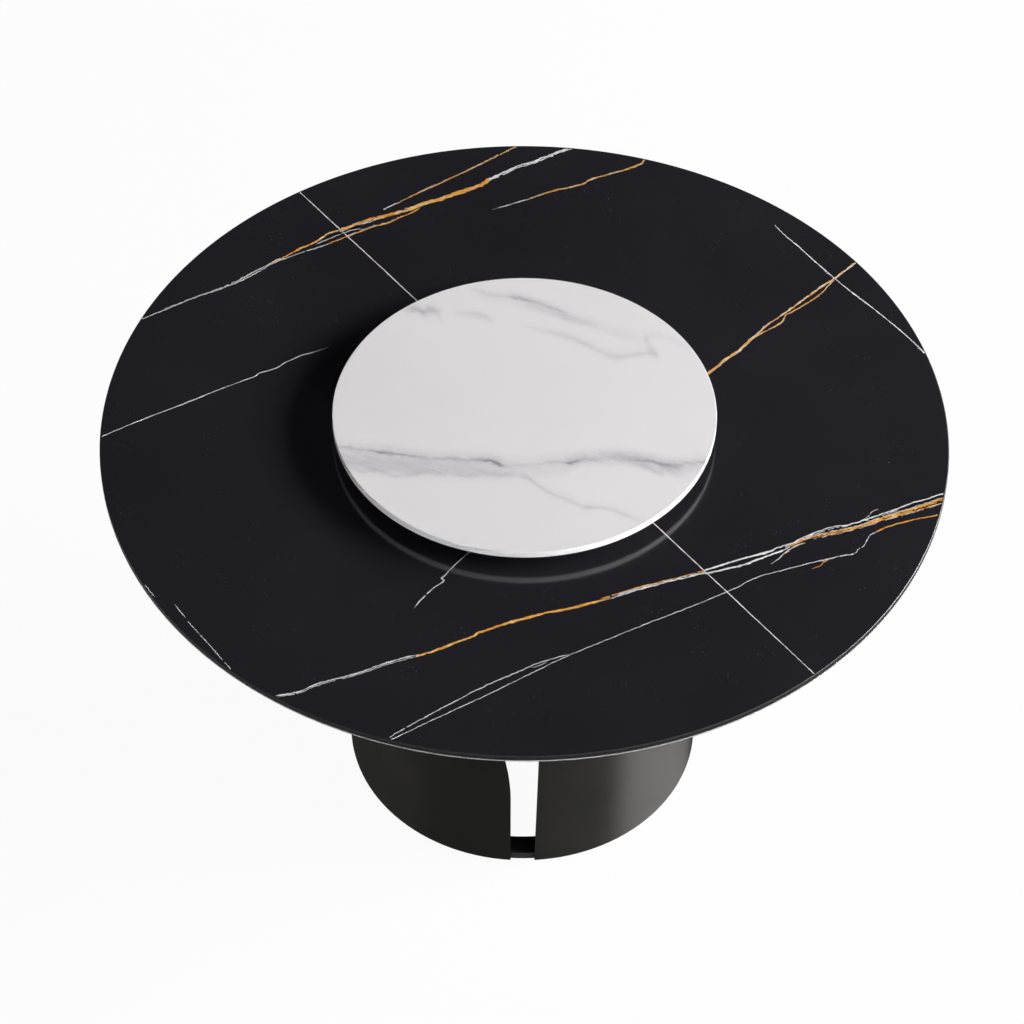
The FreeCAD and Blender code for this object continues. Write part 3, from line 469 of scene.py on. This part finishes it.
def grey_line(s, x, y, points, above, below):
    """Darkness of one soft line: points give its course and strength, above and below how far it spreads in mm."""
    span = 2.0 * PLATE_RADIUS
    across = s.math("ADD", s.math("DIVIDE", x, span * MM), 0.5)
    course = s.curve(across, [(px / span + 0.5, py / span + 0.5) for px, py, strength in points])
    dark = s.curve(across, [(px / span + 0.5, strength) for px, py, strength in points])
    middle = s.math("MULTIPLY", s.math("SUBTRACT", course, 0.5), span * MM)
    away = s.math("SUBTRACT", y, middle)
    over = s.math("GREATER_THAN", away, 0.0)
    spread = s.math("ADD", s.math("MULTIPLY", over, (above - below) * MM), below * MM)
    share = s.math("DIVIDE", away, spread)
    fall = s.math("POWER", math.e, s.math("MULTIPLY", s.math("MULTIPLY", share, share), -1.0))
    begun = s.math("GREATER_THAN", x, points[0][0] * MM)
    inside = s.math("MULTIPLY", begun, s.math("LESS_THAN", x, points[-1][0] * MM))
    return s.math("MULTIPLY", s.math("MULTIPLY", fall, s.math("MAXIMUM", dark, 0.0)), inside)


def white_stone():
    """Satin white stone with soft grey lines."""
    s = Surface("white_stone")
    parts = s.new("SeparateXYZ", (s.where,))
    waver = s.math("MULTIPLY", s.math("SUBTRACT", s.noise(16.0, 5.0, 0.6), 0.5), 0.010)
    ripple = s.math("MULTIPLY", s.math("SUBTRACT", s.noise(110.0, 6.0, 0.7), 0.5), 0.012)
    x = parts.outputs["X"]
    y = s.math("ADD", s.math("ADD", parts.outputs["Y"], waver), ripple)
    total = 0.0
    for points, above, below, weight in PLATE_LINES:
        total = s.math("ADD", total, s.math("MULTIPLY", grey_line(s, x, y, points, above, below), weight))
    slant = s.new("Mapping", (s.where,), vector_type="TEXTURE")
    slant.inputs["Rotation"].default_value = (0.0, 0.0, math.radians(-24.0))
    slant.inputs["Scale"].default_value = (1.0 / 16.0, 1.0 / 130.0, 1.0 / 16.0)
    streaks = s.noise(1.0, 6.0, 0.65, slant.outputs[0])
    crumbs = s.noise(90.0, 6.0, 0.7)
    both = s.math("ADD", s.math("MULTIPLY", streaks, 0.65), s.math("MULTIPLY", crumbs, 0.35))
    mottle = s.between(both, -0.5, 2.5)
    shade = s.math("MINIMUM", s.math("MULTIPLY", total, s.math("MAXIMUM", mottle, 0.15)), 0.85)
    cloud = s.tones(s.noise(7.0, 4.0, 0.5), (0.800, 0.784, 0.792), (0.830, 0.813, 0.821))
    grain = s.mix(s.between(s.noise(1100.0, 2.0), 0.0, 0.10), cloud, (0.74, 0.727, 0.736, 1.0))
    s.feed("Base Color", s.mix(shade, grain, (0.20, 0.19, 0.225, 1.0)))
    s.feed("Roughness", s.between(s.noise(30.0, 4.0), 0.26, 0.38))
    s.set(IOR=1.5)
    s.bump(s.noise(80.0, 3.0), 0.02, 0.0004)
    return s.material


def gunmetal():
    """Dark sheet metal with a fine satin grain that runs round the drum."""
    s = Surface("gunmetal")
    grain = s.noise(1.0, 4.0, 0.6, s.scaled(22.0, 22.0, 1500.0))
    tone = s.tones(s.noise(9.0, 4.0, 0.5), (0.040, 0.0395, 0.0385), (0.050, 0.0487, 0.047))
    s.coat(grain, 0.5, tone, (0.064, 0.062, 0.0595), (0.52, 0.66))
    s.set(Metallic=1.0, Anisotropic=1.0, Anisotropic_Rotation=0.25, Specular_Tint=(0.4, 0.4, 0.4, 1.0))
    s.feed("Tangent", s.new("Tangent", direction_type="RADIAL", axis="Z").outputs[0])
    s.bump(grain, 0.05, 0.0003)
    return s.material


def black_steel():
    """Powder coat: fine orange peel and a slightly uneven black."""
    s = Surface("black_steel")
    peel = s.noise(700.0, 4.0, 0.55)
    tone = s.tones(s.noise(18.0), (0.022, 0.022, 0.022), (0.032, 0.032, 0.031))
    s.coat(peel, 0.3, tone, (0.046, 0.046, 0.045), (0.42, 0.58))
    s.set(Specular_IOR_Level=0.1)
    s.bump(peel, 0.25, 0.0003)
    return s.material


def zinc_steel():
    """Zinc plate: bright, mottled, a little blue."""
    s = Surface("zinc_steel")
    spangle = s.cells(900.0)
    tone = s.tones(s.noise(220.0, 5.0, 0.6), (0.46, 0.48, 0.52), (0.66, 0.67, 0.69))
    s.feed("Base Color", s.mix(s.between(spangle, 0.0, 0.4), tone, (0.74, 0.74, 0.72, 1.0)))
    s.feed("Roughness", s.between(s.noise(350.0, 4.0), 0.24, 0.42))
    s.set(Metallic=1.0)
    s.bump(s.noise(1500.0, 3.0), 0.08, 0.0002)
    return s.material


def race_aluminium():
    """Turned aluminium: fine rings round the bearing's axis."""
    s = Surface("race_aluminium")
    rings = s.new("TexNoise", noise_dimensions="1D")
    s.put(rings.inputs["W"], s.math("MULTIPLY", s.radius(), 1600.0))
    cuts = rings.outputs["Fac"]
    tone = s.tones(s.noise(40.0), (0.70, 0.71, 0.72), (0.80, 0.80, 0.80))
    s.coat(cuts, 0.35, tone, (0.58, 0.59, 0.60), (0.22, 0.38))
    s.set(Metallic=1.0)
    s.bump(cuts, 0.10, 0.0002)
    return s.material


def ball_steel():
    """Polished steel, nearly even."""
    s = Surface("ball_steel")
    s.feed("Base Color", s.tones(s.noise(300.0), (0.62, 0.62, 0.63), (0.72, 0.72, 0.72)))
    s.feed("Roughness", s.between(s.noise(900.0, 5.0), 0.06, 0.16))
    s.set(Metallic=1.0)
    return s.material


def moulded(name, low, high, rough, grain):
    """Moulded plastic or rubber: soft colour drift and a fine tool texture."""
    s = Surface(name)
    texture = s.noise(grain, 4.0, 0.6)
    s.coat(texture, 0.3, s.tones(s.noise(60.0), low, high), [0.8 * c for c in low], rough)
    s.bump(texture, 0.2, 0.0003)
    return s.material


def backing_glass():
    """Glass mesh in resin: crossed threads show faintly through a pale coat."""
    s = Surface("backing_glass")
    parts = s.new("SeparateXYZ", (s.where,))
    pitch = 0.004
    threads = []
    for axis in ("X", "Y"):
        wave = s.math("SINE", s.math("MULTIPLY", parts.outputs[axis], 2.0 * math.pi / pitch))
        threads.append(s.step(wave, 0.2, 0.95))
    weave = s.math("MAXIMUM", *threads)
    resin = s.tones(s.noise(50.0), (0.25, 0.255, 0.255), (0.30, 0.30, 0.295))
    s.feed("Base Color", s.mix(s.math("MULTIPLY", weave, 0.6), resin, (0.38, 0.38, 0.37, 1.0)))
    s.feed("Roughness", s.between(s.noise(400.0, 3.0), 0.42, 0.60))
    s.bump(weave, 0.3, 0.0003)
    return s.material


def dark_board():
    """Board painted black: the fibre shows a little through the paint."""
    s = Surface("dark_board")
    fibre = s.noise(1.0, 5.0, 0.65, s.scaled(240.0, 240.0, 700.0))
    tone = s.tones(s.noise(12.0), (0.012, 0.012, 0.012), (0.020, 0.020, 0.019))
    s.coat(fibre, 0.4, tone, (0.034, 0.033, 0.031), (0.45, 0.68))
    s.bump(fibre, 0.15, 0.0004)
    return s.material


# Mesh helpers

def new_piece(name, bm, material, body):
    """An object from a mesh being built, on the body that it rides on."""
    mesh = bpy.data.meshes.new(name)
    bm.to_mesh(mesh)
    bm.free()
    mesh.materials.append(material)
    piece = bpy.data.objects.new(name, mesh)
    scene.collection.objects.link(piece)
    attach(piece, body)
    return piece


def turned(name, profile, material, body, closed=False):
    """A solid of revolution from a profile of (radius, height) in mm: a disc has its first and last point on the
    axis, and a ring's profile is closed."""
    bm = bmesh.new()
    rings = []
    for radius, height in profile:
        if radius == 0.0:
            rings.append([bm.verts.new((0.0, 0.0, height * MM))])
            continue
        ring = []
        for step in range(DISC_STEPS):
            turn = 2.0 * math.pi * step / DISC_STEPS
            ring.append(bm.verts.new((radius * MM * math.cos(turn), radius * MM * math.sin(turn), height * MM)))
        rings.append(ring)
    if closed:
        rings.append(rings[0])
    for lower, upper in zip(rings, rings[1:]):
        for step in range(DISC_STEPS):
            after = (step + 1) % DISC_STEPS
            if len(lower) == 1:
                bm.faces.new((lower[0], upper[after], upper[step]))
            elif len(upper) == 1:
                bm.faces.new((lower[step], lower[after], upper[0]))
            else:
                bm.faces.new((lower[step], lower[after], upper[after], upper[step]))
    for face in bm.faces:
        face.smooth = True
    piece = new_piece(name, bm, material, body)
    piece.data.set_sharp_from_angle(angle=math.radians(SHARP_ANGLE))
    return piece


def quarter_round(radius, middle, arris, steps, start=0.0):
    """Points of a small quarter round on a disc's rim, about a middle height, from the angle start in degrees on."""
    turns = [math.radians(start + 90.0 * step / steps) for step in range(steps + 1)]
    return [(radius - arris + arris * math.cos(turn), middle + arris * math.sin(turn)) for turn in turns]


def rounded_disc(radius, bottom, top, lower_arris, upper, rings):
    """Profile of a flat disc: its lower rim is eased by a small quarter round, and upper gives its upper rim."""
    return [
        (0.0, bottom),
        *((share * radius, bottom) for share in rings),
        *quarter_round(radius, bottom + lower_arris, lower_arris, ROUND_STEPS, start=-90.0),
        *upper,
        *((share * radius, top) for share in reversed(rings)),
        (0.0, top),
    ]


def smooth_route(points, step):
    """Points every step mm along a smooth curve through the given points, each with its run so far."""
    ends = [points[0], *points, points[-1]]
    dense = []
    for a, b, c, d in zip(ends, ends[1:], ends[2:], ends[3:]):
        for part in range(ROUTE_PARTS):
            t = part / ROUTE_PARTS
            spot = []
            for i in (0, 1):
                spot.append(0.5 * (2 * b[i] + (c[i] - a[i]) * t + (2 * a[i] - 5 * b[i] + 4 * c[i] - d[i]) * t * t
                                   + (3 * b[i] - a[i] - 3 * c[i] + d[i]) * t ** 3))
            dense.append(Vector(spot))
    dense.append(Vector(points[-1]))
    route = [(dense[0], 0.0)]
    run = 0.0
    due = step
    for first, second in zip(dense, dense[1:]):
        length = (second - first).length
        while length > 0 and run + length >= due:
            route.append((first.lerp(second, (due - run) / length), due))
            due += step
        run += length
    return route, run


def drift(run, seed, scale):
    """Smooth noise along a strand, about zero: scale is the length of its swings in mm."""
    return noise.noise(Vector((run / scale, seed * 7.31, seed * 1.7)))


class Veins:
    """Flat inlaid strips, sunk in the slab and at most 0.15 mm proud of its face. Each set has a lift in mm and each
    strand a step, so that crossing strands lie at different heights."""

    def __init__(self, lift):
        self.lift = lift
        self.bm = bmesh.new()
        self.strength = self.bm.verts.layers.float.new("strength")
        self.count = 0

    def add(self, points, width, wander, kept=1.0, offset=0.0, sway=0.0, fade=(0.0, 0.0), strong=1.0, jag=0.7):
        """One strand: width and wander in mm, kept the share of it that shows, sway how far it weaves about its
        offset, fade the lengths over which its two ends thin out, jag how rough its line is. Its course, its width
        and its gaps each come from noise of two or three lengths."""
        self.count += 1
        seed = self.count
        height = self.lift + STRAND_RISE * (seed % STRAND_LEVELS)
        route, length = smooth_route(points, VEIN_STEP)
        strip = []
        for place, (spot, run) in enumerate(route):
            before = route[max(place - 1, 0)][0]
            after = route[min(place + 1, len(route) - 1)][0]
            along = (after - before).normalized()
            side = Vector((-along.y, along.x))
            shift = offset + sway * drift(run, seed + 0.5, 70.0)
            shift += wander * (drift(run, seed, 45.0) + 0.5 * drift(run, seed, 14.0) + 0.4 * drift(run, seed, 4.5))
            shift += jag * (drift(run, seed + 0.1, 6.5) + 0.8 * drift(run, seed + 0.4, 2.7))
            centre = spot + side * shift
            thin = 1.0
            if fade[0]:
                thin = min(thin, run / fade[0])
            if fade[1]:
                thin = min(thin, (length - run) / fade[1])
            thin = max(thin, 0.0)
            half = 0.5 * width * (0.9 + 0.5 * drift(run, seed + 0.2, 22.0) + 0.45 * drift(run, seed + 0.7, 5.0))
            half = max(half, 0.18 * width) * (0.35 + 0.65 * thin)
            present = 0.5 + 0.9 * drift(run, seed + 0.3, 11.0) + 0.5 * drift(run, seed + 0.9, 3.6)
            shows = present > 1.0 - kept - 0.4 * kept ** 4 and thin > 0.02
            shows = shows and centre.length + half < SLAB_RADIUS - SLAB_ARRIS - RIM_MARGIN
            if shows:
                strip.append((centre, side, half, strong * (0.25 + 0.75 * thin)))
            else:
                self.close(strip, height)
                strip = []
        self.close(strip, height)

    def close(self, strip, height):
        """Make the strip of one unbroken run, if it is long enough to show."""
        if len(strip) < SHORTEST_STRIP:
            return
        top = (SLAB_TOP + height) * MM
        low = (SLAB_TOP - VEIN_DEPTH) * MM
        corners = []
        for centre, side, half, strong in strip:
            left = (centre + side * half) * MM
            right = (centre - side * half) * MM
            section = ((left, top), (right, top), (right, low), (left, low))
            four = [self.bm.verts.new((p.x, p.y, z)) for p, z in section]
            for vert in four:
                vert[self.strength] = strong
            corners.append(four)
        for first, second in zip(corners, corners[1:]):
            for i in range(4):
                j = (i + 1) % 4
                self.bm.faces.new((first[i], second[i], second[j], first[j]))
        self.bm.faces.new(corners[0])
        self.bm.faces.new(tuple(reversed(corners[-1])))

    def finish(self, name, material):
        bmesh.ops.recalc_face_normals(self.bm, faces=self.bm.faces)
        return new_piece(name, self.bm, material, "table")


# Stone top, its veins and the white plate

# The slab's eased upper rim is a ring of its own, set in a rebate that it fills, because its finish differs
RIM_INNER = SLAB_RADIUS - SLAB_ARRIS
RIM_BOTTOM = SLAB_TOP - SLAB_ARRIS
rebate = [(SLAB_RADIUS, RIM_BOTTOM), (RIM_INNER, RIM_BOTTOM), (RIM_INNER, SLAB_TOP)]
slab_profile = rounded_disc(SLAB_RADIUS, SLAB_BOTTOM, SLAB_TOP, SLAB_LOWER_ARRIS, rebate, SLAB_RINGS)
slab = turned("stone_top", slab_profile, black_stone(), "table")
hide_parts("tabletop_slab")
# The side gets the honed finish, whose darker colour than the top's is painted shade
slab.data.materials.append(honed_edge_painted_shade())
for face in slab.data.polygons:
    if abs(face.normal.z) < LEVEL_FACE:
        face.material_index = 1
rim_profile = [(RIM_INNER, RIM_BOTTOM), *quarter_round(SLAB_RADIUS, RIM_BOTTOM, SLAB_ARRIS, RIM_STEPS)]
rim = turned("stone_rim", rim_profile, eased_edge(), "table", closed=True)

for name, lift, strands, stops in VEIN_SETS:
    veins = Veins(lift)
    for route, width, habit in strands:
        veins.add(route, width, **habit)
    veins.finish("stone_veins_" + name, vein_colour(name + "_vein", stops))

plate_rim = quarter_round(PLATE_RADIUS, PLATE_TOP - PLATE_ARRIS, PLATE_ARRIS, ROUND_STEPS)
plate_profile = rounded_disc(PLATE_RADIUS, PLATE_BOTTOM, PLATE_TOP, PLATE_ARRIS, plate_rim, PLATE_RINGS)
plate = turned("white_plate", plate_profile, white_stone(), "turntable")
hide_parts("turntable_plate")

# Finishes of the other pieces
FINISH = {
    "backing_glass": backing_glass(),
    "dark_board": dark_board(),
    "gunmetal": gunmetal(),
    "black_steel": black_steel(),
    "zinc_steel": zinc_steel(),
    "race_aluminium": race_aluminium(),
    "ball_steel": ball_steel(),
    "cage_nylon": moulded("cage_nylon", (0.56, 0.54, 0.48), (0.66, 0.64, 0.57), (0.38, 0.52), 900.0),
    "foot_nylon": moulded("foot_nylon", (0.016, 0.016, 0.016), (0.026, 0.026, 0.026), (0.45, 0.62), 1200.0),
    "foot_rubber": moulded("foot_rubber", (0.022, 0.021, 0.021), (0.036, 0.035, 0.034), (0.70, 0.88), 800.0),
    "silicone": moulded("silicone", (0.54, 0.55, 0.56), (0.64, 0.65, 0.66), (0.30, 0.46), 600.0),
}
GROUPS = {
    "backing_glass": ["backing_sheet"],
    "dark_board": ["support_board"],
    "gunmetal": ["left_panel", "right_panel"],
    "black_steel": ["base_ring", "top_ring", "lower_cleats", "upper_cleats"],
    "zinc_steel": ["threaded_inserts", "mounting_bolts", "mounting_washers", "lower_cleat_bolts", "upper_cleat_bolts",
                   "panel_studs", "stud_nuts", "foot_lock_nuts"],
    "race_aluminium": ["bearing_inner_race", "bearing_outer_race"],
    "ball_steel": ["bearing_balls"],
    "cage_nylon": ["bearing_cage"],
    "silicone": ["lower_pads", "upper_pads"],
    "foot_nylon": [],
    "foot_rubber": [],
}
for corner in ("front_right", "rear_right", "rear_left", "front_left"):
    GROUPS["foot_nylon"].append("foot_pad_" + corner)
    GROUPS["foot_rubber"].append("foot_sole_" + corner)
    GROUPS["zinc_steel"].append("foot_stem_" + corner)
for finish, names in GROUPS.items():
    for name in names:
        node = nodes[name]
        if not node.material_slots:
            node.data.materials.append(FINISH[finish])
        for slot in node.material_slots:
            slot.material = FINISH[finish]

# Floor: pale, white to the eye and in reflections, with the object's faint shadow left in
bm = bmesh.new()
bmesh.ops.create_circle(bm, cap_ends=True, segments=96, radius=FLOOR_RADIUS)
floor_mesh = bpy.data.meshes.new("floor")
bm.to_mesh(floor_mesh)
bm.free()
floor = bpy.data.objects.new("floor", floor_mesh)
scene.collection.objects.link(floor)
pale = Surface("floor")
pale.set(Base_Color=(0.80, 0.80, 0.80, 1.0), Roughness=0.9, Specular_IOR_Level=0.0)
path = pale.new("LightPath")
seen = pale.math("MAXIMUM", path.outputs["Is Camera Ray"], path.outputs["Is Glossy Ray"])
seen = pale.math("MAXIMUM", seen, path.outputs["Is Transmission Ray"])
blend = pale.new("MixShader", (pale.math("MULTIPLY", seen, FLOOR_GLOW), pale.shader.outputs[0], pale.glow(1.0)))
pale.tree.links.new(blend.outputs[0], pale.tree.nodes["Material Output"].inputs["Surface"])
floor_mesh.materials.append(pale.material)


# Lights, world and camera

def lamp(name, azimuth, elevation, distance, width, height, power, spread=180.0, aim=0.76, shine_on=None):
    """A soft box that looks at the height aim on the table's axis. Azimuth 0 is +X, and -90 is the camera's side.
    A small spread is a box with a grid, which keeps its light to the table top. The boxes that light the surfaces
    leave no glare on the polished stone; those with shine_on are seen only as sheen, on the pieces that it lists."""
    light = bpy.data.lights.new(name, "AREA")
    light.shape = "RECTANGLE"
    light.size = width
    light.size_y = height
    light.energy = power
    light.spread = math.radians(spread)
    holder = bpy.data.objects.new(name, light)
    a = math.radians(azimuth)
    e = math.radians(elevation)
    away = Vector((math.cos(a) * math.cos(e), math.sin(a) * math.cos(e), math.sin(e)))
    holder.location = Vector((0.0, 0.0, aim)) + away * distance
    holder.rotation_mode = "QUATERNION"
    holder.rotation_quaternion = away.to_track_quat("Z", "Y")
    holder.visible_camera = False
    holder.visible_glossy = shine_on is not None
    holder.visible_diffuse = shine_on is None
    if shine_on:
        holder.light_linking.receiver_collection = bpy.data.collections.new(name)
        for piece in shine_on:
            holder.light_linking.receiver_collection.objects.link(piece)
    scene.collection.objects.link(holder)


# The strips skim the table top: their spread in degrees and the height that they look at, in metres
STRIP_SPREAD = 12.0
STRIP_AIM = 1.05
# Each lamp's name, azimuth, elevation, distance, width, height and power
SOFT_BOXES = [
    ("key", 0.0, 21.5, 10.0, 7.5, 2.6, 2210.0),
    ("front_fill", -46.0, 13.0, 10.0, 6.0, 1.6, 90.0),
    ("left_fill", 172.0, 5.0, 10.0, 7.0, 1.6, 30.0),
    ("back_fill", 108.0, 5.0, 10.0, 8.0, 1.6, 48.0),
]
STRIPS = [
    ("front_strip", -74.0, 4.0, 8.0, 2.4, 0.5, 5.8),
    ("left_strip", 205.0, 4.0, 8.0, 2.4, 0.5, 0.7),
    ("back_strip", 92.0, 3.0, 8.0, 2.4, 0.5, 4.0),
    ("rear_left_strip", 140.0, 3.0, 8.0, 2.4, 0.5, 3.0),
]
SHEENS = [
    ("right_sheen", -8.0, 4.0, 5.0, 5.2, 0.7, 670.0),
    ("front_sheen", -57.0, 4.0, 5.0, 5.3, 0.7, 66.0),
    ("left_sheen", 182.0, 4.0, 5.0, 7.0, 0.7, 46.0),
    ("back_sheen", 100.0, 4.0, 5.0, 3.0, 0.7, 80.0),
]
metal = [nodes[name] for finish in ("gunmetal", "black_steel", "zinc_steel", "race_aluminium", "ball_steel")
         for name in GROUPS[finish]]
for row in SOFT_BOXES:
    lamp(*row)
for row in STRIPS:
    lamp(*row, spread=STRIP_SPREAD, aim=STRIP_AIM)
for row in SHEENS:
    lamp(*row, shine_on=metal)
lamp("edge_sheen", 18.0, 34.0, 6.0, 3.4, 2.4, 1500.0, shine_on=[rim])

# The world is white to the eye, and in reflections only near the horizon, so the top mirrors no bright sky
world = bpy.data.worlds.new("studio")
world.use_nodes = True
sky = Nodes(world.node_tree)
path = sky.new("LightPath")
upward = sky.new("SeparateXYZ", (sky.new("TexCoord").outputs["Generated"],)).outputs["Z"]
horizon = sky.new("MapRange", (upward, 0.0, 0.1, 1.0, 0.0)).outputs[0]
mirrored = sky.math("MAXIMUM", path.outputs["Is Glossy Ray"], path.outputs["Is Transmission Ray"])
seen = sky.math("MAXIMUM", path.outputs["Is Camera Ray"], sky.math("MULTIPLY", mirrored, horizon))
blend = sky.new("MixShader", (seen, sky.glow(AMBIENT), sky.glow(1.0)))
sky.tree.links.new(blend.outputs[0], sky.tree.nodes["World Output"].inputs["Surface"])
scene.world = world

# The camera is fitted to the outlines in the photo
camera = bpy.data.cameras.new("camera")
camera.sensor_width = 36.0
camera.lens = 119.802
camera.clip_start = 0.1
camera.clip_end = 300.0
eye = bpy.data.objects.new("camera", camera)
eye.location = (-0.0215, -3.7919, 4.6398)
eye.rotation_euler = (0.74722, -0.00215, 0.00174)
scene.collection.objects.link(eye)
scene.camera = eye
